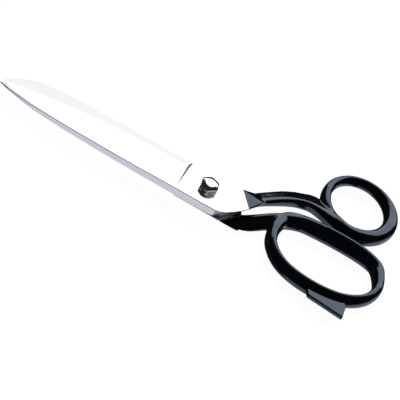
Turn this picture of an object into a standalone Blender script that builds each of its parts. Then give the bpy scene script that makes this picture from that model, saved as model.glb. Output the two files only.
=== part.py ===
"""Forged bent-handle tailor's shears, closed and lying flat on the finger half.

The origin is on the pivot axis at the flat back of the finger half, +Z runs up to the nuts, the blades
point along -X, the thumb ring is on the +Y side and the finger bow on the -Y side.
Sizes are in millimetres and become metres where the meshes are made.
"""

import math

import bmesh
import bpy
import numpy as np
from mathutils import Matrix

MM = 0.001

# Closed shears
BLADE_REACH = 137.6         # pivot axis to the two tips
THUMB_SPINE_Y = -9.5        # straight lower edge of the shears, the back of the thumb half's blade
FINGER_SPINE_Y = 22.1       # straight upper edge, the back of the finger half's blade
THUMB_EDGE_Y = 18.6         # cutting edge of the thumb half beside the shoulder
FINGER_EDGE_Y = -7.6        # cutting edge of the finger half beside the shoulder, behind the other blade
TIP_Y = 0.9                 # height of both tips above the pivot
EDGE_LAND = 0.4             # thickness left along a cutting edge
TIP_THICKNESS = 0.45        # share of a blade's full thickness that is left at its tip

# Thicknesses and pivot
FINGER_THICKNESS = 4.2
THUMB_THICKNESS = 5.5
WORKING_GAP = 0.3           # between the halves, and between the thumb half and the washer
STACK_GAP = 0.15            # between pieces that are clamped together
BOLT_DIAMETER = 6.0
BOLT_CLEARANCE = 0.2        # all round the bolt, in the halves and the fasteners
BOLT_HEAD_DIAMETER = 8.0
BOLT_HEAD_HEIGHT = 1.6
PIN_HOLE_DIAMETER = 1.4     # two blind holes in the bolt's head, for a pin spanner
PIN_HOLE_DEPTH = 0.9
PIN_HOLE_SPACING = 4.6
WASHER_DIAMETER = 10.2
WASHER_THICKNESS = 0.6
NUT_ACROSS_FLATS = 10.6
NUT_TURN = 9.0              # degrees that a corner of the nuts stands round from +X
TENSION_NUT_HEIGHT = 2.8
LOCK_NUT_HEIGHT = 4.9
LOCK_NUT_FLAT = 7.8         # diameter of the flat on top of the lock nut
LOCK_NUT_CROWN = 2.0        # wall over the end of the bolt

# Ricassos: the full-thickness bars beside the pivot
SHOULDER_X = -15.0          # where the grind of both blades ends
SHOULDER_RUN = 1.3          # length of the slope up to full thickness
RICASSO_TOP_Y = 17.5        # upper edge of the thumb half's bar at the shoulder
HEEL_X = 27.5               # square corner at the back of the finger half's lower edge
HEEL_BEVEL = 4.4            # width of the bevel under the finger half's lower edge
STOP_X = 25.2               # upright end of the finger half's bar below the thumb shank

# Handles
HANDLE_Z = 4.95             # middle of the handles, so that both rings lie in one plane
THUMB_CENTRE = (83.4, 58.3)
THUMB_RADII = (20.8, 22.15) # middle of the band, across and along its long axis
THUMB_TILT = 33.0           # degrees that the long axis leans back from +Y
THUMB_BAND = (3.8, 3.95)    # half width and half height of the band, averaged round the ring
THUMB_SWELL = (0.9, 0.65)   # how much thicker the band is at the palm side than at the far side
BOW_CENTRE_X = 81.7
BOW_RADII = (34.7, 23.4)
BOW_BAND = (3.4, 4.3)       # half width and half height of the band at the ends of the bow
BOW_SWELL = (1.75, 0.5)     # what the long sides of the band add to them
BOW_TOP_SWELL = 0.8         # extra half width of the side that meets the thumb ring
BOW_BACK_SWELL = 0.3        # extra half width of the end nearest the pivot
CLOSED_GAP = 0.5            # between the thumb ring and the bow, which stop the shears as they close
SPUR_LENGTH = 25.0
SPUR_DROP = 5.9             # how far the spur stands below the bow
SPUR_THICKNESS = 3.0
SPUR_EDGE = 0.4

SECTION_POINTS = 16
SECTION_POWER = 2.4         # 2 is an ellipse, and more is squarer
RING_STEPS = 60
SHANK_STEPS = 26
ROUND_STEPS = 48

# Heights above the resting plane
FINGER_FACE = FINGER_THICKNESS
THUMB_BACK = FINGER_FACE + WORKING_GAP
THUMB_FACE = THUMB_BACK + THUMB_THICKNESS
WASHER_Z = THUMB_FACE + WORKING_GAP
TENSION_NUT_Z = WASHER_Z + WASHER_THICKNESS + STACK_GAP
LOCK_NUT_Z = TENSION_NUT_Z + TENSION_NUT_HEIGHT + STACK_GAP
LOCK_NUT_TOP = LOCK_NUT_Z + LOCK_NUT_HEIGHT
BOLT_TOP = LOCK_NUT_TOP - LOCK_NUT_CROWN - WORKING_GAP
BORE_RADIUS = BOLT_DIAMETER / 2 + BOLT_CLEARANCE


def clear_scene():
    for obj in list(bpy.data.objects):
        bpy.data.objects.remove(obj, do_unlink=True)


def collection(name):
    group = bpy.data.collections.new(name)
    bpy.context.scene.collection.children.link(group)
    return group


def material(name, colour, roughness, metallic):
    made = bpy.data.materials.new(name)
    made.use_nodes = True
    shader = made.node_tree.nodes["Principled BSDF"]
    shader.inputs["Base Color"].default_value = (*colour, 1.0)
    shader.inputs["Roughness"].default_value = roughness
    shader.inputs["Metallic"].default_value = metallic
    return made


def finish_mesh(name, mesh_data, group):
    """Turns a bmesh in millimetres into an object in metres, with its faces pointing out."""
    bmesh.ops.recalc_face_normals(mesh_data, faces=mesh_data.faces)
    bmesh.ops.scale(mesh_data, vec=(MM, MM, MM), verts=mesh_data.verts)
    mesh = bpy.data.meshes.new(name)
    mesh_data.to_mesh(mesh)
    mesh_data.free()
    obj = bpy.data.objects.new(name, mesh)
    group.objects.link(obj)
    return obj


def loft(name, rows, group, closed=False):
    """A skin through rows of points, each row with the same number of points."""
    shape = bmesh.new()
    rings = [[shape.verts.new(point) for point in row] for row in rows]
    pairs = list(zip(rings, rings[1:]))
    if closed:
        pairs.append((rings[-1], rings[0]))
    for ring, following in pairs:
        for i in range(len(ring)):
            j = (i + 1) % len(ring)
            shape.faces.new((ring[i], ring[j], following[j], following[i]))
    if not closed:
        shape.faces.new(rings[0])
        shape.faces.new(rings[-1])
    return finish_mesh(name, shape, group)


def smooth(knots, at):
    """Value of a smooth curve through (position, value) knots that never overshoots them."""
    x, y = np.array(knots, float).T
    rise = np.diff(y) / np.diff(x)
    tangent = np.concatenate([rise[:1], np.zeros(len(rise) - 1), rise[-1:]])
    for i in range(1, len(rise)):
        if rise[i - 1] * rise[i] > 0:
            tangent[i] = 2 * rise[i - 1] * rise[i] / (rise[i - 1] + rise[i])
    i = int(np.clip(np.searchsorted(x, at) - 1, 0, len(rise) - 1))
    width = x[i + 1] - x[i]
    t = float(np.clip((at - x[i]) / width, 0, 1))
    start = (2 * t**3 - 3 * t**2 + 1) * y[i] + (t**3 - 2 * t**2 + t) * width * tangent[i]
    return start + (3 * t**2 - 2 * t**3) * y[i + 1] + (t**3 - t**2) * width * tangent[i + 1]


def spline(controls, steps, closed):
    """Rows of numbers along a Catmull-Rom curve through the control rows."""
    rows = np.array(controls, float)
    count = len(rows)
    spans = count if closed else count - 1
    found = []
    for step in range(steps if closed else steps + 1):
        place = step * spans / steps
        i = min(int(place), spans - 1)
        t = place - i
        if closed:
            a, b, c, d = (rows[(i + k) % count] for k in (-1, 0, 1, 2))
        else:
            a, b, c, d = (rows[min(max(i + k, 0), count - 1)] for k in (-1, 0, 1, 2))
        found.append(
            0.5 * (2 * b + (c - a) * t + (2 * a - 5 * b + 4 * c - d) * t**2 + (3 * b - a - 3 * c + d) * t**3)
        )
    return np.array(found)


def bar(name, controls, steps, group, closed=False):
    """A handle bar. Each control is x, y, middle height, half width and half height."""
    rows = spline(controls, steps, closed)
    path = rows[:, :2]
    if closed:
        along = np.roll(path, -1, axis=0) - np.roll(path, 1, axis=0)
    else:
        along = np.gradient(path, axis=0)
    along /= np.linalg.norm(along, axis=1)[:, None]
    sections = []
    for (x, y, middle, half_width, half_height), (dx, dy) in zip(rows, along):
        section = []
        for k in range(SECTION_POINTS):
            angle = 2 * math.pi * (k + 0.5) / SECTION_POINTS
            across = math.copysign(abs(math.cos(angle)) ** (2 / SECTION_POWER), math.cos(angle)) * half_width
            up = math.copysign(abs(math.sin(angle)) ** (2 / SECTION_POWER), math.sin(angle)) * half_height
            section.append((x - dy * across, y + dx * across, middle + up))
        sections.append(section)
    return loft(name, sections, group, closed)


def keep_result(obj):
    """Keeps what the object's modifiers make as its own mesh."""
    bpy.context.view_layer.update()
    evaluated = obj.evaluated_get(bpy.context.evaluated_depsgraph_get())
    mesh = bpy.data.meshes.new_from_object(evaluated)
    obj.modifiers.clear()
    obj.data = mesh


def combine(obj, other, operation):
    """Joins, cuts or intersects with the EXACT solver."""
    modifier = obj.modifiers.new(operation.title(), "BOOLEAN")
    modifier.operation = operation
    modifier.solver = "EXACT"
    modifier.object = other
    keep_result(obj)


def join(obj, other):
    combine(obj, other, "UNION")
    bpy.data.objects.remove(other, do_unlink=True)


def bore(obj, name, diameter, low, high, group, x=0.0):
    """Cuts a round hole that stands along Z."""
    cutter = cylinder(name, diameter / 2, low, high, group, x=x)
    combine(obj, cutter, "DIFFERENCE")
    bpy.data.objects.remove(cutter, do_unlink=True)


def cylinder(name, radius, low, high, group, sides=ROUND_STEPS, turn=0.0, x=0.0):
    shape = bmesh.new()
    bmesh.ops.create_cone(
        shape, cap_ends=True, segments=sides, radius1=radius, radius2=radius, depth=high - low
    )
    bmesh.ops.rotate(shape, verts=shape.verts, matrix=Matrix.Rotation(math.radians(turn), 3, "Z"))
    bmesh.ops.translate(shape, verts=shape.verts, vec=(x, 0, (low + high) / 2))
    return finish_mesh(name, shape, group)


def turned(name, profile, group):
    """A solid of revolution round the pivot axis, from (radius, height) points down its outer side."""
    mesh = bpy.data.meshes.new(name)
    points = [(radius * MM, 0, height * MM) for radius, height in profile]
    mesh.from_pydata(points, [(i, i + 1) for i in range(len(points) - 1)], [])
    obj = bpy.data.objects.new(name, mesh)
    group.objects.link(obj)
    screw = obj.modifiers.new("Turn", "SCREW")
    screw.steps = screw.render_steps = ROUND_STEPS
    screw.use_merge_vertices = True
    screw.merge_threshold = 0.01 * MM
    keep_result(obj)
    return obj


def blade_stations(start_x):
    """Positions along a blade, closer together at the tip."""
    steps = 26
    return [-BLADE_REACH + (start_x + BLADE_REACH) * (i / steps) ** 1.6 for i in range(steps + 1)]


def blade_row(x, spine_y, edge_y, inner, thickness, grind, land, side):
    """One section: flat inner face, spine, and a ground outer face that thins towards the cutting edge.

    side is +1 where the outer face is the upper one and -1 where it is the lower one. grind is how far
    in from the edge the outer face reaches its full thickness.
    """
    across = 1 if edge_y > spine_y else -1
    width = abs(edge_y - spine_y)
    chamfer = min(0.35, width / 4, thickness / 4)
    reach = min(grind, width - 2 * chamfer)
    points = [
        (spine_y, 0.0),
        (edge_y, 0.0),
        (edge_y, land),
        (edge_y - across * reach, thickness),
        (spine_y + across * chamfer, thickness),
        (spine_y, thickness - chamfer),
    ]
    return [(x, y, inner + side * depth) for y, depth in points]


def taper(x, full):
    """Spine thickness of a blade at x: full at the shoulder, thinner at the tip."""
    share = (x + BLADE_REACH) / (SHOULDER_X + BLADE_REACH)
    return full * (TIP_THICKNESS + (1 - TIP_THICKNESS) * min(1.0, share) ** 0.6)


def thumb_plate(group):
    """Blade and bar of the thumb half, up to the root of its shank."""
    reach = BLADE_REACH
    spine = [
        (-reach, TIP_Y - 0.6),
        (-0.95 * reach, TIP_Y - 3.2),
        (-0.79 * reach, THUMB_SPINE_Y + 2.7),
        (-0.58 * reach, THUMB_SPINE_Y + 0.9),
        (-0.28 * reach, THUMB_SPINE_Y),
        (2.0, THUMB_SPINE_Y),
    ]
    edge = [
        (-reach, TIP_Y + 0.3),
        (-0.965 * reach, TIP_Y + 2.9),
        (-0.83 * reach, THUMB_EDGE_Y - 10.4),
        (-0.64 * reach, THUMB_EDGE_Y - 5.8),
        (-0.36 * reach, THUMB_EDGE_Y - 1.6),
        (SHOULDER_X - SHOULDER_RUN, THUMB_EDGE_Y),
    ]
    rows = []
    for x in blade_stations(SHOULDER_X - SHOULDER_RUN):
        thickness = taper(x, THUMB_THICKNESS)
        rows.append(blade_row(x, smooth(spine, x), smooth(edge, x), THUMB_BACK, thickness, reach, EDGE_LAND, 1))
    lower = [
        (2.0, THUMB_SPINE_Y),
        (9.0, THUMB_SPINE_Y + 0.5),
        (13.5, THUMB_SPINE_Y + 2.8),
        (19.0, THUMB_SPINE_Y + 9.9),
        (26.3, THUMB_SPINE_Y + 19.7),
        (31.0, THUMB_SPINE_Y + 27.0),
        (35.0, THUMB_SPINE_Y + 33.8),
    ]
    upper = [
        (SHOULDER_X, RICASSO_TOP_Y),
        (17.4, RICASSO_TOP_Y + 1.6),
        (26.0, RICASSO_TOP_Y + 5.8),
        (35.0, RICASSO_TOP_Y + 11.2),
    ]
    for x in np.concatenate([np.linspace(SHOULDER_X, 2.0, 4), np.linspace(4.5, 35.0, 14)]):
        low, high = smooth(lower, x), smooth(upper, x)
        rows.append(blade_row(x, low, high, THUMB_BACK, THUMB_THICKNESS, 0.3, THUMB_THICKNESS - 0.3, 1))
    return loft("thumb_half", rows, group)


def finger_plate(group):
    """Blade and bar of the finger half, with the bevelled heel under the pivot."""
    reach = BLADE_REACH
    spine = [
        (-reach, TIP_Y + 0.6),
        (-0.99 * reach, TIP_Y + 4.2),
        (-0.974 * reach, TIP_Y + 6.9),
        (-0.937 * reach, TIP_Y + 11.3),
        (-0.854 * reach, FINGER_SPINE_Y - 4.4),
        (-0.76 * reach, FINGER_SPINE_Y - 1.8),
        (-0.57 * reach, FINGER_SPINE_Y - 0.2),
        (-0.37 * reach, FINGER_SPINE_Y),
        (SHOULDER_X, FINGER_SPINE_Y),
    ]
    edge = [
        (-reach, TIP_Y - 0.4),
        (-0.5 * reach, FINGER_EDGE_Y + 3.2),
        (SHOULDER_X - SHOULDER_RUN, FINGER_EDGE_Y),
    ]
    rows = []
    for x in blade_stations(SHOULDER_X - SHOULDER_RUN):
        thickness = taper(x, FINGER_THICKNESS)
        rows.append(blade_row(x, smooth(spine, x), smooth(edge, x), FINGER_FACE, thickness, reach, EDGE_LAND, -1))
    upper = [
        (SHOULDER_X, FINGER_SPINE_Y),
        (0.0, FINGER_SPINE_Y - 0.4),
        (10.0, FINGER_SPINE_Y - 2.6),
        (17.0, FINGER_SPINE_Y - 6.4),
        (22.0, FINGER_SPINE_Y - 11.6),
        (STOP_X - 0.8, FINGER_SPINE_Y - 15.6),
        (STOP_X, FINGER_SPINE_Y - 18.0),
        (HEEL_X, FINGER_SPINE_Y - 25.5),
    ]
    stations = [*np.linspace(SHOULDER_X, 10.0, 6), 13.5, 17.0, 19.5, 22.0, STOP_X - 0.8, STOP_X, HEEL_X]
    for x in stations:
        high, low = smooth(upper, x), THUMB_SPINE_Y + 0.3
        rows.append(blade_row(x, high, low, FINGER_FACE, FINGER_THICKNESS, HEEL_BEVEL, EDGE_LAND, -1))
    return loft("finger_half", rows, group)


def thumb_ring_controls():
    lean = math.radians(THUMB_TILT)
    controls = []
    for k in range(12):
        angle = 2 * math.pi * k / 12
        u, v = THUMB_RADII[0] * math.cos(angle), THUMB_RADII[1] * math.sin(angle)
        x = THUMB_CENTRE[0] + u * math.cos(lean) - v * math.sin(lean)
        y = THUMB_CENTRE[1] + u * math.sin(lean) + v * math.cos(lean)
        round_angle = angle + lean
        half_width = THUMB_BAND[0] + THUMB_SWELL[0] * math.cos(round_angle + math.radians(35))
        half_height = THUMB_BAND[1] + THUMB_SWELL[1] * math.cos(round_angle + math.radians(60))
        controls.append((x, y, HANDLE_Z, half_width, half_height))
    return controls


def lowest_of_thumb_ring():
    rows = spline(thumb_ring_controls(), RING_STEPS, True)
    return float(min(rows[:, 1] - rows[:, 3]))


# Middle of the bow's band, as shares of the two radii
BOW_SHAPE = (
    (1.0, 0.05), (0.91, 0.56), (0.73, 0.87), (0.25, 1.0), (-0.48, 0.95), (-0.9, 0.75),
    (-1.025, 0.28), (-0.95, -0.34), (-0.6, -0.83), (-0.05, -1.0), (0.5, -0.87), (0.87, -0.47),
)


def bow_centre_y():
    half_width = BOW_BAND[0] + BOW_SWELL[0] + BOW_TOP_SWELL
    return lowest_of_thumb_ring() - CLOSED_GAP - half_width - BOW_RADII[1]


def bow_controls():
    controls = []
    for u, v in BOW_SHAPE:
        side = math.sin(math.atan2(v, u))
        half_width = BOW_BAND[0] + BOW_SWELL[0] * side**2 + BOW_TOP_SWELL * side - BOW_BACK_SWELL * u
        half_height = BOW_BAND[1] + BOW_SWELL[1] * side**2
        x, y = BOW_CENTRE_X + u * BOW_RADII[0], bow_centre_y() + v * BOW_RADII[1]
        controls.append((x, y, HANDLE_Z, half_width, half_height))
    return controls


def thumb_shank_controls():
    """From inside the bar to inside the palm side of the thumb ring."""
    ring_x, ring_y = THUMB_CENTRE
    foot = ring_y - THUMB_RADII[1]
    low = THUMB_FACE - THUMB_THICKNESS / 2
    thin = THUMB_THICKNESS / 2 - 0.05
    return [
        (15.0, 7.5, low, 4.2, thin),
        (23.0, 14.7, low - 0.1, 4.9, thin),
        (32.8, 25.2, 6.2, 4.5, 3.6),
        (42.5, 34.6, 5.5, 4.7, 4.2),
        (50.5, foot + 4.0, 5.1, 4.8, 4.5),
        (60.0, foot + 7.0, HANDLE_Z, 5.5, 4.6),
        (ring_x - 10.4, foot + 2.9, HANDLE_Z, 4.6, 4.5),
        (ring_x - 0.4, foot + 0.3, HANDLE_Z, 4.1, 4.3),
    ]


def finger_shank_controls():
    """From inside the bar to inside the upper side of the bow."""
    top = bow_centre_y() + BOW_RADII[1]
    left = BOW_CENTRE_X - BOW_RADII[0]
    middle = FINGER_THICKNESS / 2
    thin = middle - 0.06
    return [
        (14.0, -0.6, middle, 4.2, thin),
        (22.0, -0.9, middle, 5.0, thin),
        (29.3, 1.9, 2.7, 5.7, 2.6),
        (36.4, 7.2, 3.8, 5.3, 3.65),
        (left - 2.8, top - 11.7, 4.6, 4.8, 4.4),
        (left + 4.9, top - 6.2, 4.85, 4.5, 4.65),
        (left + 13.0, top - 2.4, HANDLE_Z, 4.8, 4.7),
        (left + 25.0, top - 0.3, HANDLE_Z, 5.2, 4.7),
    ]


def spur(group):
    """The fin under the bow, a plate with its edges taken off."""
    right = BOW_CENTRE_X + 25.0
    left = right - SPUR_LENGTH
    low = bow_centre_y() - BOW_RADII[1] - BOW_BAND[0] - BOW_SWELL[0] + BOW_TOP_SWELL - SPUR_DROP
    outline = [
        (left - 1.8, low + 6.6),
        (left + 0.6, low + 2.3),
        (right, low),
        (right - 1.3, low + 9.6),
        (right - 4.5, low + 13.5),
        (right - 14.0, low + 10.5),
    ]
    shape = bmesh.new()
    base = [shape.verts.new((x, y, HANDLE_Z - SPUR_THICKNESS / 2)) for x, y in outline]
    face = shape.faces.new(base)
    raised = bmesh.ops.extrude_face_region(shape, geom=[face])
    moved = [item for item in raised["geom"] if isinstance(item, bmesh.types.BMVert)]
    bmesh.ops.translate(shape, verts=moved, vec=(0, 0, SPUR_THICKNESS))
    bmesh.ops.bevel(
        shape, geom=list(shape.edges), offset=SPUR_EDGE, segments=2, profile=0.5, affect="EDGES"
    )
    return finish_mesh("spur", shape, group)


def hexagon_nut(name, low, high, bore_top, crown_flat, group):
    """A hexagon cut to a turned outline, with the bolt's hole from below."""
    corner = NUT_ACROSS_FLATS / 2 / math.cos(math.radians(30))
    slope = math.tan(math.radians(20))
    side = corner + 0.02
    top_drop = (corner - crown_flat / 2) * slope
    lower_drop = (corner - NUT_ACROSS_FLATS / 2 + 0.1) * slope
    nut = cylinder(name, corner, low, high, group, sides=6, turn=NUT_TURN)
    outline = turned(
        name + "_outline",
        [
            (0, high),
            (crown_flat / 2, high),
            (side, high - top_drop),
            (side, low + lower_drop),
            (NUT_ACROSS_FLATS / 2 - 0.1, low),
            (0, low),
        ],
        group,
    )
    combine(nut, outline, "INTERSECT")
    bpy.data.objects.remove(outline, do_unlink=True)
    bore(nut, name + "_bore", 2 * BORE_RADIUS, low - 1, bore_top, group)
    return nut


def finish(obj, surface):
    """Gives the object one material, and shades it smooth between its corners."""
    obj.data.materials.clear()
    obj.data.materials.append(surface)
    obj.data.shade_smooth()
    obj.data.set_sharp_from_angle(angle=math.radians(30))


def build_halves(parts, steel):
    thumb = thumb_plate(parts)
    join(thumb, bar("thumb_shank", thumb_shank_controls(), SHANK_STEPS, parts))
    join(thumb, bar("thumb_ring", thumb_ring_controls(), RING_STEPS, parts, closed=True))
    finger = finger_plate(parts)
    join(finger, bar("finger_shank", finger_shank_controls(), SHANK_STEPS, parts))
    join(finger, bar("finger_bow", bow_controls(), RING_STEPS, parts, closed=True))
    join(finger, spur(parts))
    seat = BOLT_HEAD_DIAMETER + 2 * BOLT_CLEARANCE
    bore(finger, "head_seat", seat, -1, BOLT_HEAD_HEIGHT + STACK_GAP, parts)
    for half in (thumb, finger):
        bore(half, "bolt_hole", 2 * BORE_RADIUS, -1, THUMB_FACE + 1, parts)
        finish(half, steel)


def build_fasteners(parts, chrome):
    shank, head = BOLT_DIAMETER / 2, BOLT_HEAD_DIAMETER / 2
    bolt = turned(
        "pivot_bolt",
        [
            (0, BOLT_TOP),
            (shank - 0.6, BOLT_TOP),
            (shank, BOLT_TOP - 0.6),
            (shank, BOLT_HEAD_HEIGHT),
            (head, BOLT_HEAD_HEIGHT),
            (head, 0.3),
            (head - 0.3, 0),
            (0, 0),
        ],
        parts,
    )
    for side in (-1, 1):
        bore(bolt, "pin_hole", PIN_HOLE_DIAMETER, -1, PIN_HOLE_DEPTH, parts, x=side * PIN_HOLE_SPACING / 2)
    washer_top = WASHER_Z + WASHER_THICKNESS
    washer = cylinder("spring_washer", WASHER_DIAMETER / 2, WASHER_Z, washer_top, parts)
    bore(washer, "washer_bore", 2 * BORE_RADIUS, WASHER_Z - 1, washer_top + 1, parts)
    corners = NUT_ACROSS_FLATS / math.cos(math.radians(30))
    tension_top = TENSION_NUT_Z + TENSION_NUT_HEIGHT
    tension = hexagon_nut("tension_nut", TENSION_NUT_Z, tension_top, tension_top + 1, corners - 0.9, parts)
    lock_bore_top = LOCK_NUT_TOP - LOCK_NUT_CROWN
    lock = hexagon_nut("lock_nut", LOCK_NUT_Z, LOCK_NUT_TOP, lock_bore_top, LOCK_NUT_FLAT, parts)
    for piece in (bolt, washer, tension, lock):
        finish(piece, chrome)


def main():
    clear_scene()
    parts = collection("tailors_shears")
    steel = material("polished_steel", (0.80, 0.81, 0.83), 0.18, 1.0)
    chrome = material("bright_plating", (0.72, 0.73, 0.75), 0.08, 1.0)
    build_halves(parts, steel)
    build_fasteners(parts, chrome)


main()
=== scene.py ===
"""Looks of the bent-handle tailor's shears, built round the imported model.

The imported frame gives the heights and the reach. Lengths inside the functions are millimetres and become
metres where the meshes are made.
"""

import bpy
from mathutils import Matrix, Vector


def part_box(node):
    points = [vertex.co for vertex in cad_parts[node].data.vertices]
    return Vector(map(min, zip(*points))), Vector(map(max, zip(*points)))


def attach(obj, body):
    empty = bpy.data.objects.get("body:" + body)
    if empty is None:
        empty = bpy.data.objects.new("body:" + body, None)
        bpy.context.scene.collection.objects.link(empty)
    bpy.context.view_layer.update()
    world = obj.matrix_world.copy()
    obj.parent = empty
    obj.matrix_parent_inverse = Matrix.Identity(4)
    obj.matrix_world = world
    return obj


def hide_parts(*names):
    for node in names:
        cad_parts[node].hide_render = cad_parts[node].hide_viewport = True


bl_info = {
    "name": "Tailor's Shears",
    "version": (1, 0, 0),
    "blender": (4, 5, 0),
    "location": "3D View > Sidebar > Shears",
    "description": "Builds ground steel blades, enamelled handles and plated fasteners on the shears' frame",
    "category": "Object",
}

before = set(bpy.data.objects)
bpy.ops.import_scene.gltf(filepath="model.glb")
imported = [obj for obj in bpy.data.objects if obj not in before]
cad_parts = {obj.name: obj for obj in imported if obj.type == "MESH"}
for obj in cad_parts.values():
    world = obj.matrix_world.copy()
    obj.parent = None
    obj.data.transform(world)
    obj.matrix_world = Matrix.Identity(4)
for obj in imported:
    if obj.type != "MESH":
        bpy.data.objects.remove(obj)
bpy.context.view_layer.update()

import math

import bmesh
import bpy
import numpy as np
from mathutils import Matrix, Vector

MM = 0.001


def box_mm(node):
    low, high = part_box(node)
    return low / MM, high / MM


THUMB_LOW, THUMB_HIGH = box_mm("thumb_half")
REACH = -THUMB_LOW.x                # pivot axis to the two tips
THUMB_FACE = THUMB_HIGH.z           # the halves' flat faces, from the resting plane up
THUMB_THICK = 5.5
WORKING_GAP = 0.3                   # between the two halves
THUMB_BACK = THUMB_FACE - THUMB_THICK
FINGER_FACE = THUMB_BACK - WORKING_GAP
SPINE_LOW, SPINE_HIGH = -9.5, 22.1  # the straight backs of the thumb half's and the finger half's blades
TIP_Y = 0.9
SHOULDER_X = -15.0                  # where the grind of both blades ends
HANDLE_Z = 4.95                     # middle of both rings
BORE_RADIUS = 3.2
HEAD_SEAT = (4.2, 1.75)             # radius and depth of the seat for the bolt's head
NUT_FLATS = 10.6
NUT_TURN = 9.0                      # degrees that a corner of the nuts stands round from +X


# Settings that a user would change


class ShearsSizes(bpy.types.PropertyGroup):
    chamfer: bpy.props.FloatProperty(
        name="Blade chamfer", description="Width taken off the long corners of the blades", default=0.00032,
        unit="LENGTH"
    )
    hollow: bpy.props.FloatProperty(
        name="Hollow", description="Depth of the hollow grind in the blades' outer faces", default=0.00005,
        unit="LENGTH"
    )
    enamel_step: bpy.props.FloatProperty(
        name="Enamel thickness", description="How far the enamel stands proud of the steel", default=0.00006,
        unit="LENGTH"
    )
    voxel: bpy.props.FloatProperty(
        name="Fusing detail", description="Voxel size that the handles are fused at", default=0.00042,
        unit="LENGTH"
    )
    nut_chamfer: bpy.props.FloatProperty(
        name="Nut corner", description="Rounding along the nuts' corners", default=0.00018, unit="LENGTH"
    )
    lens: bpy.props.FloatProperty(
        name="Lens", description="Focal length of the long lens, in millimetres", default=1500.0
    )
    view_width: bpy.props.FloatProperty(
        name="View width", description="Width of the view at the pivot", default=0.236, unit="LENGTH"
    )
    camera_tilt: bpy.props.FloatProperty(
        name="Camera tilt", description="Angle of the view away from straight down",
        default=math.radians(47.0), subtype="ANGLE", unit="ROTATION"
    )
    camera_roll: bpy.props.FloatProperty(
        name="Camera roll", description="Turn of the picture about the line of sight",
        default=math.radians(29.8), subtype="ANGLE", unit="ROTATION"
    )


class ShearsColours(bpy.types.PropertyGroup):
    steel: bpy.props.FloatVectorProperty(
        name="Ground steel", description="Bright ground faces of the blades", default=(0.82, 0.83, 0.845),
        size=3, subtype="COLOR", min=0.0, max=1.0
    )
    rubbed_steel: bpy.props.FloatVectorProperty(
        name="Rubbed steel", description="Satin inner faces that slide over each other",
        default=(0.600, 0.598, 0.595), size=3, subtype="COLOR", min=0.0, max=1.0
    )
    plating: bpy.props.FloatVectorProperty(
        name="Plating", description="Bright plating of the bolt, washer and nuts",
        default=(0.80, 0.81, 0.825), size=3, subtype="COLOR", min=0.0, max=1.0
    )
    enamel: bpy.props.FloatVectorProperty(
        name="Enamel", description="Glossy black enamel of the handles", default=(0.0035, 0.0035, 0.0045),
        size=3, subtype="COLOR", min=0.0, max=1.0
    )
    enamel_sheen: bpy.props.FloatVectorProperty(
        name="Enamel sheen", description="Cool tint of the reflections in the enamel",
        default=(0.64, 0.78, 1.0), size=3, subtype="COLOR", min=0.0, max=1.0
    )
    floor: bpy.props.FloatVectorProperty(
        name="Floor", description="Pale studio floor", default=(0.25, 0.25, 0.25),
        size=3, subtype="COLOR", min=0.0, max=1.0
    )
    softbox: bpy.props.FloatVectorProperty(
        name="Softbox", description="Tint of the large softbox behind the shears", default=(0.98, 1.0, 1.03),
        size=3, subtype="COLOR", min=0.0, max=2.0
    )
    bounce: bpy.props.FloatVectorProperty(
        name="Bounce", description="Tint of the light thrown up from the table", default=(0.93, 0.94, 1.06),
        size=3, subtype="COLOR", min=0.0, max=2.0
    )
    softbox_strength: bpy.props.FloatProperty(
        name="Softbox strength", description="Brightness of the softbox", default=1.70, min=0.0
    )
    bounce_strength: bpy.props.FloatProperty(
        name="Bounce strength", description="Brightness of the light from the table", default=0.80, min=0.0
    )
    lamp_strength: bpy.props.FloatProperty(
        name="Lamp strength", description="Brightness of the lamps that light the blades", default=0.34,
        min=0.0
    )
    dome_strength: bpy.props.FloatProperty(
        name="Dome strength", description="Brightness of the rest of the studio", default=0.02, min=0.0
    )


# Shader nodes


class Wire:
    """One shader socket. An expression on it adds the Math nodes that work it out."""

    def __init__(self, tree, socket):
        self.tree, self.socket = tree, socket

    def maths(self, operation, *values):
        return self.tree.node("ShaderNodeMath", {"operation": operation}, values)

    def __add__(self, other):
        return self.maths("ADD", self, other)

    def __sub__(self, other):
        return self.maths("SUBTRACT", self, other)

    def __rsub__(self, other):
        return self.maths("SUBTRACT", other, self)

    def __mul__(self, other):
        return self.maths("MULTIPLY", self, other)

    def __truediv__(self, other):
        return self.maths("DIVIDE", self, other)

    def __pow__(self, other):
        return self.maths("POWER", self, other)

    def __abs__(self):
        return self.maths("ABSOLUTE", self)

    __radd__ = __add__
    __rmul__ = __mul__


class Tree:
    """The nodes of one material or world."""

    def __init__(self, owner):
        owner.use_nodes = True
        self.nodes, self.links = owner.node_tree.nodes, owner.node_tree.links
        self.nodes.clear()

    def node(self, kind, settings=(), sockets=(), output=0):
        """A new node: its settings first, then the values and links of its sockets."""
        made = self.nodes.new(kind)
        for name, value in dict(settings).items():
            setattr(made, name, value)
        pairs = sockets.items() if isinstance(sockets, dict) else enumerate(sockets)
        for key, value in pairs:
            if isinstance(value, Wire):
                self.links.new(value.socket, made.inputs[key])
            else:
                made.inputs[key].default_value = value
        return Wire(self, made.outputs[output]) if made.outputs else made

    def split(self, vector):
        made = self.node("ShaderNodeSeparateXYZ", sockets=(vector,))
        return [Wire(self, socket) for socket in made.socket.node.outputs]

    def between(self, value, low, high):
        """0 below low and 1 above high, with a soft step from one to the other."""
        return self.node(
            "ShaderNodeMapRange",
            {"interpolation_type": "SMOOTHSTEP"},
            {"Value": value, "From Min": low, "From Max": high},
        )

    def mixed(self, share, first, second):
        """One colour turning into another."""
        return self.node("ShaderNodeMix", {"data_type": "RGBA"}, {0: share, 6: first, 7: second}, output=2)


def rgba(colour, strength=1.0):
    return (*(strength * channel for channel in colour), 1.0)


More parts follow.
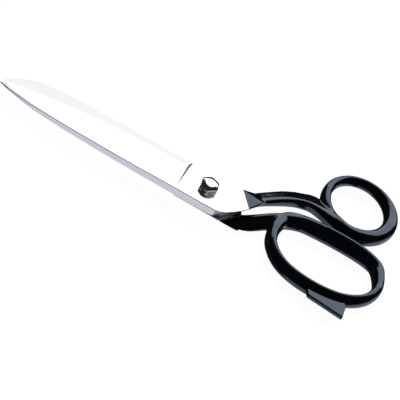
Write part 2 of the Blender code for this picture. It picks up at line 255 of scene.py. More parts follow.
class Finish(Tree):
    """A material with one glossy shader."""

    def __init__(self, name):
        self.material = bpy.data.materials.new(name)
        super().__init__(self.material)
        self.place = self.node("ShaderNodeTexCoord", output="Object")
        self.facing = self.node("ShaderNodeTexCoord", output="Normal")

    def noise(self, scale, detail=2.0, roughness=0.5, offset=(0.0, 0.0, 0.0)):
        """Noise from 0 to 1, with its grains per millimetre along each axis."""
        stretched = self.node(
            "ShaderNodeVectorMath",
            {"operation": "MULTIPLY_ADD"},
            (self.place, tuple(share / MM for share in scale), offset),
        )
        sockets = {"Vector": stretched, "Scale": 1.0, "Detail": detail, "Roughness": roughness}
        return self.node("ShaderNodeTexNoise", sockets=sockets)

    def bump(self, height, strength, distance):
        sockets = {"Height": height, "Strength": strength, "Distance": distance}
        return self.node("ShaderNodeBump", sockets=sockets)

    def surface(self, **sockets):
        named = {key.replace("_", " "): value for key, value in sockets.items()}
        shader = self.node("ShaderNodeBsdfPrincipled", sockets=named)
        self.node("ShaderNodeOutputMaterial", sockets={"Surface": shader})
        return self.material


def ground_steel(name, colours, inner_side):
    """Bright steel with grind lines across the blade on its faces and along it on its backs.

    The step where the grind ends is painted dark in its colour: painted shade.

    inner_side is +1 or -1, the way along Z that the satin inner face looks.
    """
    finish = Finish(name)
    lean_x, _, z = finish.split(finish.facing)
    x = finish.split(finish.place)[0] / MM
    # painted shade: the base colour turns nearly black on the step where the grind ends
    step_painted_shade = (
        finish.between(x, SHOULDER_X - 2.6, SHOULDER_X - 2.0)
        * (1 - finish.between(x, SHOULDER_X - 0.1, SHOULDER_X + 0.3))
        * finish.between(lean_x * -1.0, 0.05, 0.15)
    )
    flat = finish.between(abs(z), 0.55, 0.8)
    inner = finish.between(z * inner_side, 0.985, 0.999)
    across = finish.noise((5.5, 0.10, 0.4), 3.0, 0.6)
    along = finish.noise((0.06, 3.0, 7.0), 2.0, 0.6, (3.0, 1.0, 5.0))
    streaks = across * flat + along * (1 - flat)
    cloud = finish.noise((0.05, 0.09, 0.09), 3.0, 0.6, (9.0, 2.0, 4.0))
    scratches = finish.between(finish.noise((0.25, 2.6, 1.0), 4.0, 0.7, (1.0, 8.0, 2.0)), 0.70, 0.78)
    bright = finish.mixed(cloud, rgba(colours.steel, 0.95), rgba(colours.steel))
    rubbed = finish.mixed(streaks, rgba(colours.rubbed_steel, 0.92), rgba(colours.rubbed_steel, 1.06))
    clean = finish.mixed(inner, bright, rubbed)
    return finish.surface(
        # painted shade on the step where the grind ends
        Base_Color=finish.mixed(step_painted_shade * 0.9, clean, rgba(colours.steel, 0.05)),
        Metallic=1.0,
        Roughness=0.23 + streaks * 0.10 + cloud * 0.05 + scratches * 0.08 + inner * 0.03,
        Normal=finish.bump(streaks + scratches * 0.3, 0.22, 0.00002),
    )


def bright_plating(name, colours):
    """Mirror plating with faint polishing marks and a little wear."""
    finish = Finish(name)
    marks = finish.noise((0.9, 0.9, 6.0), 4.0, 0.65)
    cloud = finish.noise((0.35, 0.35, 0.35), 2.0, 0.5, (4.0, 4.0, 1.0))
    return finish.surface(
        Base_Color=finish.mixed(cloud, rgba(colours.plating, 0.92), rgba(colours.plating)),
        Metallic=1.0,
        Roughness=0.06 + marks * 0.06 + cloud * 0.04,
        Normal=finish.bump(marks, 0.10, 0.00002),
    )


def black_enamel(name, colours):
    """Thick glossy enamel: slightly wavy, with faint clouds in its gloss and fine dust marks."""
    finish = Finish(name)
    waves = finish.noise((0.16, 0.16, 0.16), 1.0, 0.4)
    peel = finish.noise((0.9, 0.9, 0.9), 1.0, 0.4, (2.0, 7.0, 3.0))
    cloud = finish.noise((0.07, 0.07, 0.07), 3.0, 0.6, (5.0, 1.0, 1.0))
    dust = finish.between(finish.noise((1.6, 1.6, 1.6), 2.0, 0.5, (8.0, 8.0, 8.0)), 0.72, 0.80)
    return finish.surface(
        Base_Color=finish.mixed(cloud, rgba(colours.enamel), rgba(colours.enamel, 1.9)),
        Metallic=0.0,
        IOR=1.78,
        Specular_Tint=rgba(colours.enamel_sheen),
        Roughness=0.05 + cloud * 0.05 + dust * 0.10,
        Normal=finish.bump(waves + peel * 0.12, 0.16, 0.0004),
    )


# Meshes


def finish_mesh(name, mesh_data):
    """Turns a bmesh in millimetres into an object in metres, with its faces pointing out."""
    bmesh.ops.recalc_face_normals(mesh_data, faces=mesh_data.faces)
    bmesh.ops.scale(mesh_data, vec=(MM, MM, MM), verts=mesh_data.verts)
    mesh = bpy.data.meshes.new(name)
    mesh_data.to_mesh(mesh)
    mesh_data.free()
    obj = bpy.data.objects.new(name, mesh)
    bpy.context.scene.collection.objects.link(obj)
    return obj


def loft(name, rows, closed=False):
    """A skin through rows of points, each row with the same number of points."""
    shape = bmesh.new()
    rings = [[shape.verts.new(point) for point in row] for row in rows]
    pairs = list(zip(rings, rings[1:]))
    if closed:
        pairs.append((rings[-1], rings[0]))
    for ring, following in pairs:
        for i in range(len(ring)):
            j = (i + 1) % len(ring)
            shape.faces.new((ring[i], ring[j], following[j], following[i]))
    if not closed:
        shape.faces.new(rings[0])
        shape.faces.new(rings[-1])
    return finish_mesh(name, shape)


def smooth(knots, at):
    """Value of a smooth curve through (position, value) knots that never overshoots them."""
    x, y = np.array(knots, float).T
    rise = np.diff(y) / np.diff(x)
    tangent = np.concatenate([rise[:1], np.zeros(len(rise) - 1), rise[-1:]])
    for i in range(1, len(rise)):
        if rise[i - 1] * rise[i] > 0:
            tangent[i] = 2 * rise[i - 1] * rise[i] / (rise[i - 1] + rise[i])
    i = int(np.clip(np.searchsorted(x, at) - 1, 0, len(rise) - 1))
    width = x[i + 1] - x[i]
    t = float(np.clip((at - x[i]) / width, 0, 1))
    start = (2 * t**3 - 3 * t**2 + 1) * y[i] + (t**3 - 2 * t**2 + t) * width * tangent[i]
    return start + (3 * t**2 - 2 * t**3) * y[i + 1] + (t**3 - t**2) * width * tangent[i + 1]


def spline(controls, steps, closed):
    """Rows of numbers along a Catmull-Rom curve through the control rows."""
    rows = np.array(controls, float)
    count = len(rows)
    spans = count if closed else count - 1
    found = []
    for step in range(steps if closed else steps + 1):
        place = step * spans / steps
        i = min(int(place), spans - 1)
        t = place - i
        if closed:
            a, b, c, d = (rows[(i + k) % count] for k in (-1, 0, 1, 2))
        else:
            a, b, c, d = (rows[min(max(i + k, 0), count - 1)] for k in (-1, 0, 1, 2))
        found.append(
            0.5 * (2 * b + (c - a) * t + (2 * a - 5 * b + 4 * c - d) * t**2 + (3 * b - a - 3 * c + d) * t**3)
        )
    return np.array(found)


SECTION_POINTS = 40


def bar(name, controls, steps, closed=False):
    """A handle bar. Each control is x, y, middle height, half width, half height, squareness and lean.

    Squareness 2 is an oval and more is squarer. A lean above 0 drops the top towards -Y, and one below 0
    drops it towards +Y, where the bar is wider to make up for it.
    """
    rows = spline(controls, steps, closed)
    path = rows[:, :2]
    if closed:
        along = np.roll(path, -1, axis=0) - np.roll(path, 1, axis=0)
    else:
        along = np.gradient(path, axis=0)
    along /= np.linalg.norm(along, axis=1)[:, None]
    sections = []
    for (x, y, middle, half_width, half_height, square, lean), (dx, dy) in zip(rows, along):
        section = []
        for k in range(SECTION_POINTS):
            angle = 2 * math.pi * (k + 0.5) / SECTION_POINTS
            side, rise = math.cos(angle), math.sin(angle)
            across = math.copysign(abs(side) ** (2 / square), side) * half_width
            up = math.copysign(abs(rise) ** (2 / square), rise) * half_height
            reach, offset = abs(dx) * half_width, dx * across
            if up > 0:
                drop = up / half_height * abs(lean) * (reach - math.copysign(1, lean) * offset)
                up -= drop
                if lean < 0 and offset > 0:
                    across += math.copysign(0.7 * drop * offset / half_width, dx)
            section.append((x - dy * across, y + dx * across, middle + up))
        sections.append(section)
    return loft(name, sections, closed)


def keep_result(obj):
    """Keeps what the object's modifiers make as its own mesh."""
    bpy.context.view_layer.update()
    evaluated = obj.evaluated_get(bpy.context.evaluated_depsgraph_get())
    mesh = bpy.data.meshes.new_from_object(evaluated)
    obj.modifiers.clear()
    obj.data = mesh


def combine(obj, other, operation):
    """Cuts or intersects with the EXACT solver, and removes the cutter."""
    modifier = obj.modifiers.new(operation.title(), "BOOLEAN")
    modifier.operation = operation
    modifier.solver = "EXACT"
    modifier.object = other
    keep_result(obj)
    bpy.data.objects.remove(other, do_unlink=True)


def cylinder(name, radius, low, high, sides=96, turn=0.0):
    shape = bmesh.new()
    bmesh.ops.create_cone(
        shape, cap_ends=True, segments=sides, radius1=radius, radius2=radius, depth=high - low
    )
    bmesh.ops.rotate(shape, verts=shape.verts, matrix=Matrix.Rotation(math.radians(turn), 3, "Z"))
    bmesh.ops.translate(shape, verts=shape.verts, vec=(0, 0, (low + high) / 2))
    return finish_mesh(name, shape)


def cut_off(obj, point, outward):
    """Cuts off what lies beyond a plane, given in millimetres, and closes the cut."""
    shape = bmesh.new()
    shape.from_mesh(obj.data)
    everything = [*shape.verts, *shape.edges, *shape.faces]
    cut = bmesh.ops.bisect_plane(
        shape, geom=everything, dist=1e-7, plane_co=Vector(point) * MM, plane_no=Vector(outward),
        clear_outer=True,
    )
    edges = [item for item in cut["geom_cut"] if isinstance(item, bmesh.types.BMEdge)]
    bmesh.ops.contextual_create(shape, geom=edges)
    bmesh.ops.recalc_face_normals(shape, faces=shape.faces)
    shape.to_mesh(obj.data)
    shape.free()


def fuse(name, lofts, voxel, rounds):
    """Melts overlapping lofts into one smooth body, as a forging is."""
    body = bmesh.new()
    for part in lofts:
        body.from_mesh(part.data)
        bpy.data.objects.remove(part, do_unlink=True)
    mesh = bpy.data.meshes.new(name)
    body.to_mesh(mesh)
    body.free()
    obj = bpy.data.objects.new(name, mesh)
    bpy.context.scene.collection.objects.link(obj)
    remesh = obj.modifiers.new("Fuse", "REMESH")
    remesh.mode = "VOXEL"
    remesh.voxel_size = voxel
    soften = obj.modifiers.new("Soften", "SMOOTH")
    soften.factor = 0.5
    soften.iterations = rounds
    keep_result(obj)
    return obj


def dress(obj, body, nodes, material, angle=12.0):
    """Gives a finished piece its material, its shading and its place on the frame."""
    obj.data.materials.clear()
    obj.data.materials.append(material)
    obj.data.shade_smooth()
    obj.data.set_sharp_from_angle(angle=math.radians(angle))
    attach(obj, body)
    if nodes:
        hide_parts(*nodes)


# Blades

EDGE_LAND = 0.4                     # thickness left along a cutting edge
TIP_SHARE = 0.36                    # share of a blade's full thickness that its spine keeps at the tip
GRIND_SLOPE = 0.186                 # steepest rise of a ground face across the blade
SHOULDER_RUN = 1.9                  # length of the step up from the grind to full thickness
HEEL_BEVEL = 4.4                    # width of the bevel under the finger half's lower edge
BAR_CHAMFER = 0.32


def blade_stations(steps):
    """Positions along a blade, closer together at the tip."""
    start_x = SHOULDER_X - SHOULDER_RUN
    return [-REACH + (start_x + REACH) * (i / steps) ** 1.5 for i in range(steps + 1)]


def blade_row(x, spine_y, edge_y, inner, thickness, grind, land, side, chamfer, hollow, overhang=0.0):
    """One section: flat inner face, chamfered spine, and an outer face ground hollow towards the edge.

    side is +1 where the outer face is the upper one and -1 where it is the lower one. grind is how far
    in from the edge the outer face reaches its full thickness, and overhang how far the outer face
    stands out over the foot of the spine.
    """
    across = 1 if edge_y > spine_y else -1
    width = abs(edge_y - spine_y)
    brink = spine_y - across * overhang
    chamfer = min(chamfer, width / 4, thickness / 4)
    reach = min(grind, width - 2 * chamfer)
    points = [(spine_y, chamfer / 2), (spine_y + across * chamfer / 2, 0.0), (edge_y, 0.0), (edge_y, land)]
    for share in (0.1, 0.3, 0.5, 0.7, 0.9):
        depth = land + (thickness - land) * share - 4 * hollow * share * (1 - share)
        points.append((edge_y - across * reach * share, depth))
    points += [
        (edge_y - across * reach, thickness),
        (brink + across * chamfer, thickness),
        (brink + across * chamfer * 0.3, thickness - chamfer * 0.3),
        (brink, thickness - chamfer),
    ]
    return [(x, y, inner + side * depth) for y, depth in points]


def taper(x, full, width):
    """Spine thickness of a blade at x: full at the shoulder, and never more than its grind allows."""
    share = (x + REACH) / (SHOULDER_X + REACH)
    spine = full * (TIP_SHARE + (1 - TIP_SHARE) * min(1.0, share) ** 0.6)
    return min(spine, EDGE_LAND + GRIND_SLOPE * width)


THUMB_SPINE = [
    (-REACH, TIP_Y - 0.6), (-0.95 * REACH, TIP_Y - 3.2), (-0.79 * REACH, SPINE_LOW + 2.7),
    (-0.58 * REACH, SPINE_LOW + 0.9), (-0.28 * REACH, SPINE_LOW), (2.0, SPINE_LOW),
]
THUMB_EDGE = [
    (-REACH, TIP_Y + 0.3), (-0.965 * REACH, TIP_Y + 2.9), (-0.83 * REACH, 8.2), (-0.64 * REACH, 12.8),
    (-0.36 * REACH, 17.0), (SHOULDER_X - 1.3, 18.6),
]
THUMB_LOWER = [
    (2.0, SPINE_LOW), (9.0, SPINE_LOW + 0.5), (13.5, SPINE_LOW + 2.8), (19.0, SPINE_LOW + 9.9),
    (26.3, SPINE_LOW + 19.7), (31.0, SPINE_LOW + 27.0), (35.0, SPINE_LOW + 33.8),
]
THUMB_UPPER = [(SHOULDER_X, 17.5), (17.4, 19.1), (26.0, 23.3), (35.0, 28.7)]
FINGER_SPINE = [
    (-REACH, TIP_Y + 0.6), (-0.99 * REACH, TIP_Y + 4.2), (-0.974 * REACH, TIP_Y + 6.9),
    (-0.937 * REACH, TIP_Y + 11.3), (-0.854 * REACH, SPINE_HIGH - 4.4), (-0.76 * REACH, SPINE_HIGH - 1.8),
    (-0.57 * REACH, SPINE_HIGH - 0.2), (-0.37 * REACH, SPINE_HIGH), (SHOULDER_X, SPINE_HIGH),
]
FINGER_EDGE = [(-REACH, TIP_Y - 0.4), (-0.5 * REACH, -4.4), (SHOULDER_X - 1.3, -7.6)]
FINGER_UPPER = [
    (SHOULDER_X, SPINE_HIGH), (0.0, SPINE_HIGH - 0.4), (10.0, SPINE_HIGH - 2.6), (17.0, SPINE_HIGH - 6.4),
    (22.0, SPINE_HIGH - 11.6), (24.4, SPINE_HIGH - 15.6), (25.2, SPINE_HIGH - 18.0),
    (27.5, SPINE_HIGH - 25.5),
]
FINGER_LOWER = SPINE_LOW + 0.3
THUMB_OVERHANG = [
    (8.0, 0.0), (13.5, 1.4), (17.0, 3.2), (20.0, 4.4), (23.0, 5.0), (26.3, 5.2), (30.0, 4.4), (35.0, 2.4),
]
FINGER_THICK = FINGER_FACE

# The enamel's edge on the thumb half's top face: a point on it and its direction outwards into the enamel
ENAMEL_POINT = Vector((17.3, 17.8, 0.0))
ENAMEL_OUT = Vector((12.7, 9.1, 0.0)).normalized()
SIDE_ENAMEL_X = 21.0                # where the enamel starts on the thumb half's lower side
FINGER_ENAMEL_POINT = Vector((16.0, -7.6, 0.0))
FINGER_ENAMEL_OUT = Vector((0.78, -0.626, 0.0))
RIDGE_SLOPE = Vector((0.020, 0.341, 0.940))     # how the thumb half's root falls away above its facet
HEEL_SLOPE = Vector((0.240, -0.193, 0.951))     # how the finger half's root falls away below its edge


def blade_rows(knots_spine, knots_edge, inner, full, side, sizes):
    chamfer, hollow = sizes.chamfer / MM, sizes.hollow / MM
    rows = []
    for x in blade_stations(70):
        spine, edge = smooth(knots_spine, x), smooth(knots_edge, x)
        thickness = taper(x, full, abs(edge - spine))
        rows.append(blade_row(x, spine, edge, inner, thickness, REACH, EDGE_LAND, side, chamfer, hollow))
    return rows


def thumb_steel(sizes):
    """Blade and bar of the thumb half, up to just under the enamel."""
    rows = blade_rows(THUMB_SPINE, THUMB_EDGE, THUMB_BACK, THUMB_THICK, 1, sizes)
    chamfer = sizes.chamfer / MM
    for x in np.concatenate([np.linspace(SHOULDER_X, 2.0, 8), np.linspace(3.0, 33.0, 34)]):
        rows.append(
            blade_row(x, smooth(THUMB_LOWER, x), smooth(THUMB_UPPER, x), THUMB_BACK, THUMB_THICK, 0.3,
                      THUMB_THICK - 0.3, 1, chamfer, 0.0, smooth(THUMB_OVERHANG, x))
        )
    plate = loft("thumb_blade", rows)
    cut_off(plate, ENAMEL_POINT + ENAMEL_OUT * 1.2, ENAMEL_OUT)
    combine(plate, cylinder("bore", BORE_RADIUS, -1, 12), "DIFFERENCE")
    return plate


def finger_rows(stations, low, grow=0.0):
    """Sections of the finger half's bar, with the bevelled heel under its lower edge."""
    rows = []
    for x in stations:
        high = smooth(FINGER_UPPER, x) + grow
        rows.append(
            blade_row(x, high, low - grow, FINGER_FACE, FINGER_THICK, HEEL_BEVEL + grow, EDGE_LAND, -1,
                      BAR_CHAMFER, 0.0)
        )
    return rows


def finger_steel(sizes):
    """Blade and bar of the finger half, up to just under the enamel."""
    rows = blade_rows(FINGER_SPINE, FINGER_EDGE, FINGER_FACE, FINGER_THICK, -1, sizes)
    stations = [*np.linspace(SHOULDER_X, 10.0, 14), *np.linspace(11.0, 24.4, 16), 25.2]
    plate = loft("finger_blade", rows + finger_rows(stations, FINGER_LOWER))
    cut_off(plate, FINGER_ENAMEL_POINT, FINGER_ENAMEL_OUT)
    combine(plate, cylinder("seat", HEAD_SEAT[0], -1, HEAD_SEAT[1]), "DIFFERENCE")
    combine(plate, cylinder("bore", BORE_RADIUS, -1, 12), "DIFFERENCE")
    return plate


# Handles

SOFTEN_ROUNDS = 7                   # how often the fused handles are smoothed
CLOSED_GAP = 0.5                    # between the thumb ring and the bow
THUMB_CENTRE = (83.4, 58.3)
THUMB_RADII = (20.8, 22.15)
THUMB_TILT = math.radians(33.0)
BOW_CENTRE_X = 81.7
BOW_RADII = (34.7, 23.4)
BOW_TOP_HALF = 5.95                 # room for half the width of the bow's upper side
SPUR_LENGTH, SPUR_DROP = 25.0, 5.9
BOW_SHAPE = (
    (1.0, 0.05), (0.91, 0.56), (0.73, 0.87), (0.25, 1.0), (-0.48, 0.95), (-0.9, 0.75),
    (-1.025, 0.28), (-0.95, -0.34), (-0.6, -0.83), (-0.05, -1.0), (0.5, -0.87), (0.87, -0.47),
)


def thumb_ring_controls():
    controls = []
    for k in range(12):
        angle = 2 * math.pi * k / 12
        u, v = THUMB_RADII[0] * math.cos(angle), THUMB_RADII[1] * math.sin(angle)
        x = THUMB_CENTRE[0] + u * math.cos(THUMB_TILT) - v * math.sin(THUMB_TILT)
        y = THUMB_CENTRE[1] + u * math.sin(THUMB_TILT) + v * math.cos(THUMB_TILT)
        turn = angle + THUMB_TILT
        half_width = 3.7 + 0.9 * math.cos(turn + math.radians(35))
        half_height = 3.95 + 0.65 * math.cos(turn + math.radians(60))
        lean = 0.38 * (1 - max(0.0, math.cos(turn + math.radians(50))) ** 2)
        controls.append((x, y, HANDLE_Z, half_width, half_height, 2.5, lean))
    return controls


def bow_centre_y():
    ring = spline(thumb_ring_controls(), 60, True)
    return float(min(ring[:, 1] - ring[:, 3])) - CLOSED_GAP - BOW_TOP_HALF - BOW_RADII[1]


def bow_controls():
    controls = []
    for u, v in BOW_SHAPE:
        side = math.sin(math.atan2(v, u))
        half_width = 3.28 + 1.75 * side**2 + 0.8 * side - 0.3 * u
        half_height = 4.3 + 0.5 * side**2
        x, y = BOW_CENTRE_X + u * BOW_RADII[0], bow_centre_y() + v * BOW_RADII[1]
        controls.append((x, y, HANDLE_Z, half_width, half_height, 2.6, 0.42))
    return controls


def thumb_shank_controls():
    foot = THUMB_CENTRE[1] - THUMB_RADII[1]
    low = THUMB_FACE - THUMB_THICK / 2
    return [
        (15.0, 7.5, low, 4.2, 2.7, 2.8, -0.5),
        (23.0, 14.7, low - 0.1, 4.9, 2.7, 2.8, -0.5),
        (32.8, 25.2, 6.2, 4.5, 3.6, 2.8, -0.55),
        (42.5, 34.6, 5.5, 4.7, 4.2, 2.8, -0.5),
        (50.5, foot + 4.0, 5.1, 4.8, 4.5, 2.8, -0.5),
        (60.0, foot + 7.0, HANDLE_Z, 5.5, 4.6, 2.8, -0.4),
        (THUMB_CENTRE[0] - 10.4, foot + 2.9, HANDLE_Z, 4.6, 4.5, 2.6, -0.05),
        (THUMB_CENTRE[0] - 0.4, foot + 0.3, HANDLE_Z, 4.1, 4.3, 2.5, 0.3),
    ]


def finger_shank_controls():
    top = bow_centre_y() + BOW_RADII[1]
    left = BOW_CENTRE_X - BOW_RADII[0]
    middle = FINGER_THICK / 2
    return [
        (14.0, -0.6, middle, 4.2, middle - 0.06, 2.6, 0.14),
        (22.0, -0.9, middle, 5.0, middle - 0.06, 2.6, 0.14),
        (29.3, 1.9, 2.7, 5.7, 2.6, 2.6, 0.24),
        (36.4, 7.2, 3.8, 5.3, 3.65, 2.6, 0.34),
        (left - 2.8, top - 11.7, 4.6, 4.8, 4.4, 2.6, 0.34),
        (left + 4.9, top - 6.2, 4.85, 4.5, 4.65, 2.6, 0.34),
        (left + 13.0, top - 2.4, HANDLE_Z, 4.8, 4.7, 2.6, 0.34),
        (left + 25.0, top - 0.3, HANDLE_Z, 5.2, 4.7, 2.6, 0.34),
    ]


def thumb_root(name, low, high, step, start):
    """The enamelled end of the thumb half's bar between two heights."""
    rows = []
    for x in np.linspace(start, 35.0, 24):
        below, above = smooth(THUMB_LOWER, x) - step, smooth(THUMB_UPPER, x) + step
        overhang, thickness = smooth(THUMB_OVERHANG, x), high - low
        rows.append(blade_row(x, below, above, low, thickness, 0.2, thickness - 0.2, 1, 0.25, 0.0, overhang))
    return loft(name, rows)


def thumb_handle(sizes):
    step = sizes.enamel_step / MM
    top = thumb_root("root_top", THUMB_BACK - step, THUMB_FACE, step, 12.0)
    cut_off(top, ENAMEL_POINT, -ENAMEL_OUT)
    cut_off(top, (17.3, 17.8, THUMB_FACE), RIDGE_SLOPE)
    side = thumb_root("root_side", THUMB_BACK - step, THUMB_FACE - 0.2, step, SIDE_ENAMEL_X)
    cut_off(side, (17.3, 17.8, THUMB_FACE), RIDGE_SLOPE)
    lofts = [
        top,
        side,
        bar("shank", thumb_shank_controls(), 80),
        bar("ring", thumb_ring_controls(), 220, closed=True),
    ]
    return fuse("thumb_handle", lofts, sizes.voxel, SOFTEN_ROUNDS)


def spur():
    """The fin under the bow, a plate with its edges taken off."""
    right = BOW_CENTRE_X + SPUR_LENGTH
    left = BOW_CENTRE_X
    low = bow_centre_y() - BOW_RADII[1] - 3.4 - 1.75 + 0.8 - SPUR_DROP
    outline = [
        (left - 1.8, low + 6.6), (left + 0.6, low + 2.3), (right, low), (right - 1.3, low + 9.6),
        (right - 4.5, low + 13.5), (right - 14.0, low + 10.5),
    ]
    shape = bmesh.new()
    base = [shape.verts.new((x, y, HANDLE_Z - 1.5)) for x, y in outline]
    face = shape.faces.new(base)
    raised = bmesh.ops.extrude_face_region(shape, geom=[face])
    moved = [item for item in raised["geom"] if isinstance(item, bmesh.types.BMVert)]
    bmesh.ops.translate(shape, verts=moved, vec=(0, 0, 3.0))
    bmesh.ops.bevel(shape, geom=list(shape.edges), offset=0.4, segments=2, profile=0.5, affect="EDGES")
    return finish_mesh("spur", shape)


def finger_handle(sizes):
    step = sizes.enamel_step / MM
    stations = [*np.linspace(8.0, 22.0, 14), 24.4, 25.2, 27.5]
    rows = finger_rows(stations, FINGER_LOWER, step)
    root = loft("root", rows)
    cut_off(root, FINGER_ENAMEL_POINT - FINGER_ENAMEL_OUT * 0.8, -FINGER_ENAMEL_OUT)
    cut_off(root, FINGER_ENAMEL_POINT + Vector((0, 0, FINGER_FACE - 0.65)), HEEL_SLOPE)
    lofts = [
        root,
        bar("shank", finger_shank_controls(), 80),
        bar("bow", bow_controls(), 260, closed=True),
        spur(),
    ]
    return fuse("finger_handle", lofts, sizes.voxel, SOFTEN_ROUNDS)


# Fasteners

CROWN_ANGLE = 20.0                  # degrees that a nut's crown falls away towards its corners
LOCK_CROWN_FLAT = 6.4


def turned(name, profile, steps=128):
    """A solid of revolution round the pivot axis, from (radius, height) points down its outer side."""
    mesh = bpy.data.meshes.new(name)
    points = [(radius * MM, 0, height * MM) for radius, height in profile]
    mesh.from_pydata(points, [(i, i + 1) for i in range(len(points) - 1)], [])
    obj = bpy.data.objects.new(name, mesh)
    bpy.context.scene.collection.objects.link(obj)
    screw = obj.modifiers.new("Turn", "SCREW")
    screw.steps = screw.render_steps = steps
    screw.use_merge_vertices = True
    screw.merge_threshold = 0.01 * MM
    keep_result(obj)
    return obj


def hexagon_nut(name, node, crown_flat, bore_depth, sizes):
    """A hexagon cut to a turned outline, with its corners eased and the bolt's hole from below."""
    low, high = (corner.z for corner in box_mm(node))
    corner = NUT_FLATS / 2 / math.cos(math.radians(30))
    slope = math.tan(math.radians(CROWN_ANGLE))
    side = corner + 0.02
    nut = cylinder(name, corner, low, high, sides=6, turn=NUT_TURN)
    outline = turned(
        name + "_outline",
        [
            (0, high), (crown_flat / 2, high), (side, high - (corner - crown_flat / 2) * slope),
            (side, low + (corner - NUT_FLATS / 2 + 0.1) * slope), (NUT_FLATS / 2 - 0.1, low), (0, low),
        ],
    )
    combine(nut, outline, "INTERSECT")
    ease = nut.modifiers.new("Ease", "BEVEL")
    ease.width = sizes.nut_chamfer
    ease.segments = 2
    ease.limit_method = "ANGLE"
    ease.angle_limit = math.radians(15)
    keep_result(nut)
    combine(nut, cylinder("bore", BORE_RADIUS, low - 1, low + bore_depth), "DIFFERENCE")
    return nut


# Operators


class SHEARS_OT_blades(bpy.types.Operator):
    """Grinds the two blades with their bars"""

    bl_idname = "shears.blades"
    bl_label = "Grind Blades"

    def execute(self, context):
        sizes, colours = context.scene.shears_sizes, context.scene.shears_colours
        dress(thumb_steel(sizes), "thumb_side", ["thumb_half"],
              ground_steel("ground_steel_thumb", colours, -1))
        dress(finger_steel(sizes), "finger_side", ["finger_half"],
              ground_steel("ground_steel_finger", colours, 1))
        return {"FINISHED"}


class SHEARS_OT_handles(bpy.types.Operator):
    """Forges the two handles and coats them with black enamel"""

    bl_idname = "shears.handles"
    bl_label = "Enamel Handles"

    def execute(self, context):
        sizes, colours = context.scene.shears_sizes, context.scene.shears_colours
        enamel = black_enamel("black_enamel", colours)
        dress(thumb_handle(sizes), "thumb_side", [], enamel, 60.0)
        dress(finger_handle(sizes), "finger_side", [], enamel, 60.0)
        return {"FINISHED"}


class SHEARS_OT_fasteners(bpy.types.Operator):
    """Turns the two nuts, and plates them with the bolt and the washer"""

    bl_idname = "shears.fasteners"
    bl_label = "Fit Fasteners"

    def execute(self, context):
        sizes, colours = context.scene.shears_sizes, context.scene.shears_colours
        plating = bright_plating("bright_plating", colours)
        corners = NUT_FLATS / math.cos(math.radians(30))
        tension = hexagon_nut("tension_hexagon", "tension_nut", corners - 0.9, 9.0, sizes)
        lock = hexagon_nut("lock_hexagon", "lock_nut", LOCK_CROWN_FLAT, 2.9, sizes)
        dress(tension, "finger_side", ["tension_nut"], plating, 30.0)
        dress(lock, "finger_side", ["lock_nut"], plating, 30.0)
        for node in ("pivot_bolt", "spring_washer"):
            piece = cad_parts[node]
            piece.data.materials.clear()
            piece.data.materials.append(plating)
        for piece in (tension, lock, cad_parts["spring_washer"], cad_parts["pivot_bolt"]):
            piece.visible_glossy = False    # keeps their mirror image off the bright bar beside them
        return {"FINISHED"}


# Studio

BACKDROP_STRENGTH = 0.97
FLOOR_GLOW = 0.965
FLOOR_DROP = 0.15                   # floor's depth under the shears
LAMP_SIZE, LAMP_DISTANCE = 2.4, 2.2     # metres
LAMPS = (("overhead", 0, 66), ("left", 75, 30), ("right", -75, 30))     # name, turn from +Y, height, degrees
VIEW_SHIFT = (-0.0033, -0.00448)    # metres that the view's centre lies right of and above the pivot


def studio_world(colours):
    """A dim dome, one wide cool softbox behind the shears and soft light thrown up from the table."""
    world = bpy.data.worlds.new("studio")
    bpy.context.scene.world = world
    tree = Tree(world)
    x, y, z = tree.split(tree.node("ShaderNodeTexCoord", output="Generated"))
    level = (x * x + y * y + 1e-6) ** 0.5
    sideways = abs(x) / level
    softbox = (
        tree.between(z, 0.21, 0.31)
        * (1 - tree.between(z, 0.77, 0.84))
        * (1 - tree.between(sideways, 0.44, 0.62))
        * tree.between(y, 0.0, 0.12)
    )
    front = tree.between(y * -0.731 + z * -0.682, 0.85, 0.94)
    side = tree.between(x * 0.72 + y * 0.15 + z * -0.68, 0.80, 0.93)
    under = tree.between(z * -1.0, 0.80, 0.95) * 0.75
    table = front + (side + under * (1 - side)) * (1 - front)
    strength = softbox * colours.softbox_strength + table * colours.bounce_strength + colours.dome_strength
    tint = tree.mixed(softbox, (0.95, 0.97, 1.04, 1.0), rgba(colours.softbox))
    tint = tree.mixed(table, tint, rgba(colours.bounce))
    light = tree.node("ShaderNodeBackground", sockets={"Color": tint, "Strength": strength})
    backdrop = tree.node(
        "ShaderNodeBackground", sockets={"Color": (1.0, 1.0, 1.0, 1.0), "Strength": BACKDROP_STRENGTH}
    )
    seen = tree.node("ShaderNodeLightPath", output="Is Camera Ray")
    both = tree.node("ShaderNodeMixShader", sockets={0: seen, 1: light, 2: backdrop})
    tree.node("ShaderNodeOutputWorld", sockets={"Surface": both})


def studio_floor(colours):
    """A pale lit floor just under the shears."""
    shape = bmesh.new()
    bmesh.ops.create_grid(shape, x_segments=8, y_segments=8, size=2500)
    bmesh.ops.translate(shape, verts=shape.verts, vec=(0, 0, -FLOOR_DROP))
    floor = finish_mesh("studio_floor", shape)
    finish = Finish("pale_floor")
    cloud = finish.noise((0.004, 0.004, 0.004), 2.0)
    floor.data.materials.append(
        finish.surface(
            Base_Color=finish.mixed(cloud, rgba(colours.floor, 0.96), rgba(colours.floor)),
            Roughness=0.9,
            Emission_Color=(1.0, 1.0, 1.0, 1.0),
            Emission_Strength=FLOOR_GLOW,
        )
    )
    floor.visible_glossy = False


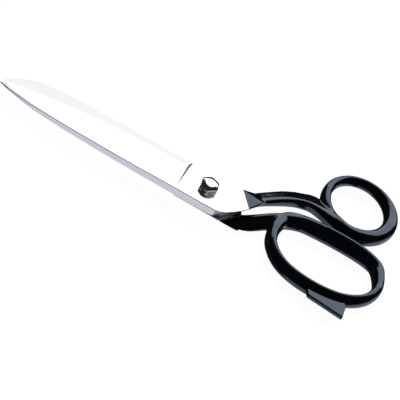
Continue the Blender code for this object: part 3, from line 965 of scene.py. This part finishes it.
def blade_lamps(strength):
    """Large soft lamps overhead and at both sides. They light only the blades, so the enamel stays black."""
    blades = bpy.data.collections.new("lit_blades")
    for name in ("thumb_blade", "finger_blade"):
        blades.objects.link(bpy.data.objects[name])
    for name, turn, height in LAMPS:
        data = bpy.data.lights.new(name, "AREA")
        data.shape, data.size = "DISK", LAMP_SIZE
        data.energy = strength * math.pi**2 * (data.size / 2) ** 2
        lamp = bpy.data.objects.new(name, data)
        bpy.context.scene.collection.objects.link(lamp)
        turn, height = math.radians(turn), math.radians(height)
        level = math.cos(height)
        towards = Vector((math.sin(turn) * level, math.cos(turn) * level, math.sin(height)))
        lamp.location = towards * LAMP_DISTANCE
        lamp.rotation_mode = "QUATERNION"
        lamp.rotation_quaternion = towards.to_track_quat("Z", "Y")
        lamp.visible_camera = False
        lamp.light_linking.receiver_collection = blades


def studio_camera(sizes):
    """A long lens that looks down on the shears, with the blades turned up to the left."""
    tilt, roll = sizes.camera_tilt, sizes.camera_roll
    back = Vector((0, -math.sin(tilt), math.cos(tilt)))
    level_up = Vector((0, math.cos(tilt), math.sin(tilt)))
    right = Vector((1, 0, 0)) * math.cos(roll) + level_up * math.sin(roll)
    up = level_up * math.cos(roll) - Vector((1, 0, 0)) * math.sin(roll)
    centre = Vector((0, 0, THUMB_FACE * MM)) + right * VIEW_SHIFT[0] + up * VIEW_SHIFT[1]
    camera = bpy.data.objects.new("camera", bpy.data.cameras.new("camera"))
    bpy.context.scene.collection.objects.link(camera)
    camera.data.lens = sizes.lens
    camera.data.sensor_width = 36.0
    distance = sizes.view_width * sizes.lens / camera.data.sensor_width
    turned_to_view = Matrix((right, up, back)).transposed().to_4x4()
    camera.matrix_world = Matrix.Translation(centre + back * distance) @ turned_to_view
    camera.data.clip_start, camera.data.clip_end = 0.1, 100.0
    bpy.context.scene.camera = camera


class SHEARS_OT_stage(bpy.types.Operator):
    """Sets up the studio: world, floor and camera"""

    bl_idname = "shears.stage"
    bl_label = "Set Stage"

    def execute(self, context):
        sizes, colours = context.scene.shears_sizes, context.scene.shears_colours
        studio_world(colours)
        studio_floor(colours)
        blade_lamps(colours.lamp_strength)
        studio_camera(sizes)
        context.scene.view_settings.view_transform = "Standard"
        return {"FINISHED"}


class SHEARS_PT_panel(bpy.types.Panel):
    """Sidebar panel with one button for each group of pieces"""

    bl_label = "Tailor's Shears"
    bl_idname = "SHEARS_PT_panel"
    bl_space_type = "VIEW_3D"
    bl_region_type = "UI"
    bl_category = "Shears"

    def draw(self, context):
        for operator in OPERATORS:
            self.layout.operator(operator.bl_idname)
        for group in (context.scene.shears_sizes, context.scene.shears_colours):
            box = self.layout.box()
            for name in group.bl_rna.properties.keys():
                if name not in ("rna_type", "name"):
                    box.prop(group, name)


OPERATORS = (SHEARS_OT_blades, SHEARS_OT_handles, SHEARS_OT_fasteners, SHEARS_OT_stage)
CLASSES = (ShearsSizes, ShearsColours, *OPERATORS, SHEARS_PT_panel)


def register():
    for made in CLASSES:
        bpy.utils.register_class(made)
    bpy.types.Scene.shears_sizes = bpy.props.PointerProperty(type=ShearsSizes)
    bpy.types.Scene.shears_colours = bpy.props.PointerProperty(type=ShearsColours)


def unregister():
    del bpy.types.Scene.shears_colours
    del bpy.types.Scene.shears_sizes
    for made in reversed(CLASSES):
        bpy.utils.unregister_class(made)


def main():
    register()
    bpy.ops.shears.blades()
    bpy.ops.shears.handles()
    bpy.ops.shears.fasteners()
    bpy.ops.shears.stage()
    bpy.context.view_layer.update()


if __name__ == "__main__":
    main()
